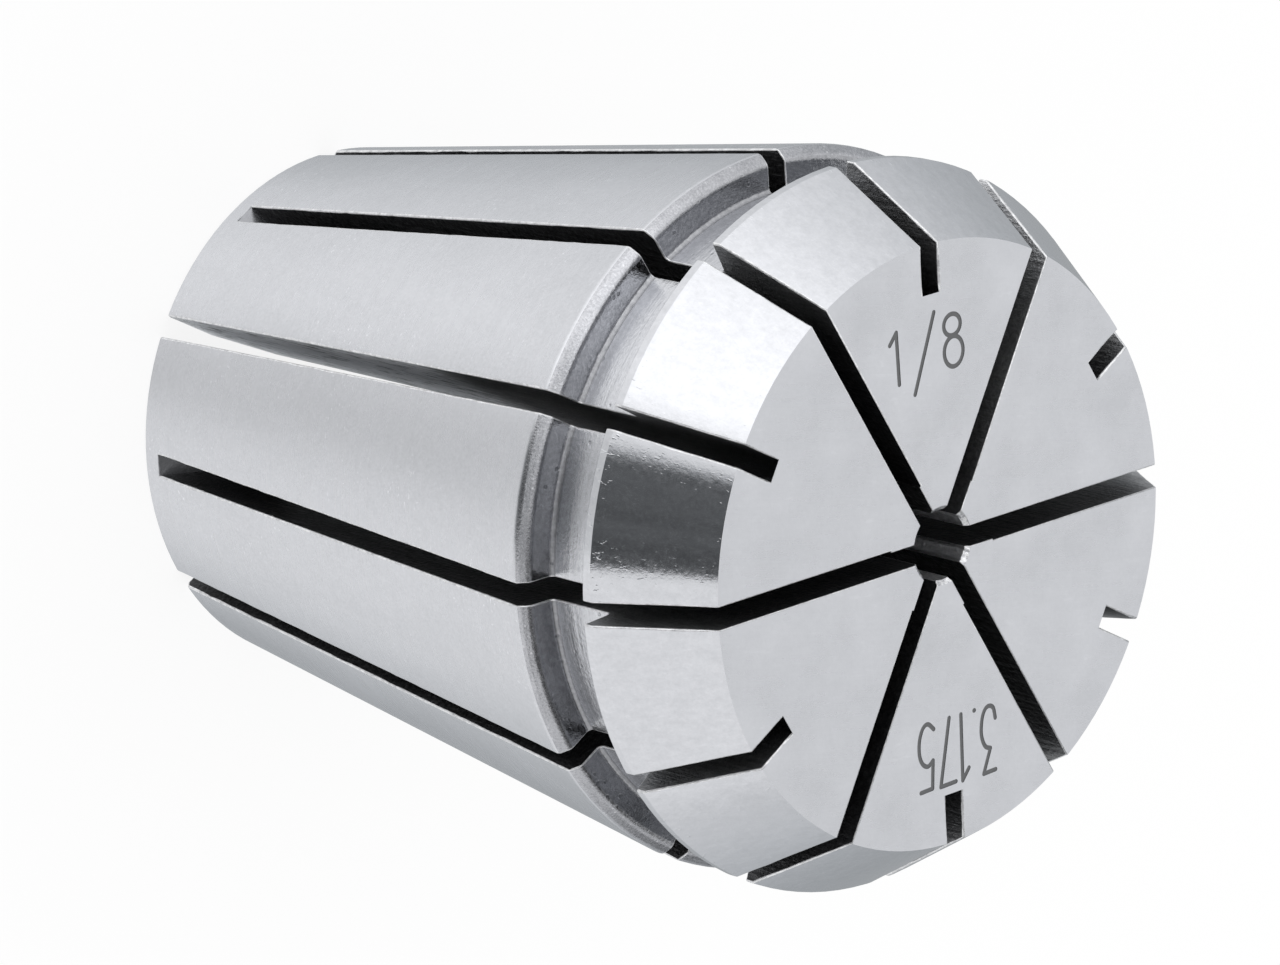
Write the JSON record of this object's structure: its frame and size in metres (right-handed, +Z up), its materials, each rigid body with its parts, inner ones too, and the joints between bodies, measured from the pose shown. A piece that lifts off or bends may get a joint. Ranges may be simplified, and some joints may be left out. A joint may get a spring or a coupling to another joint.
{
  "type": "er collet",
  "caption": "Tapered steel spring collet with a nose cone, an extraction groove and alternating saw cuts around a small gripping bore.",
  "frame": {"origin": "centre of the narrow rear end, at the bottom of the collet", "axes": "+Z up along the bore to the front face; +X runs along the middle of a front saw cut"},
  "size_m": [0.033, 0.033, 0.04],
  "materials": {
    "collet": "finely ground, satin"
  },
  "bodies": {
    "root": {"collet": "collet"}
  },
  "joints": []
}
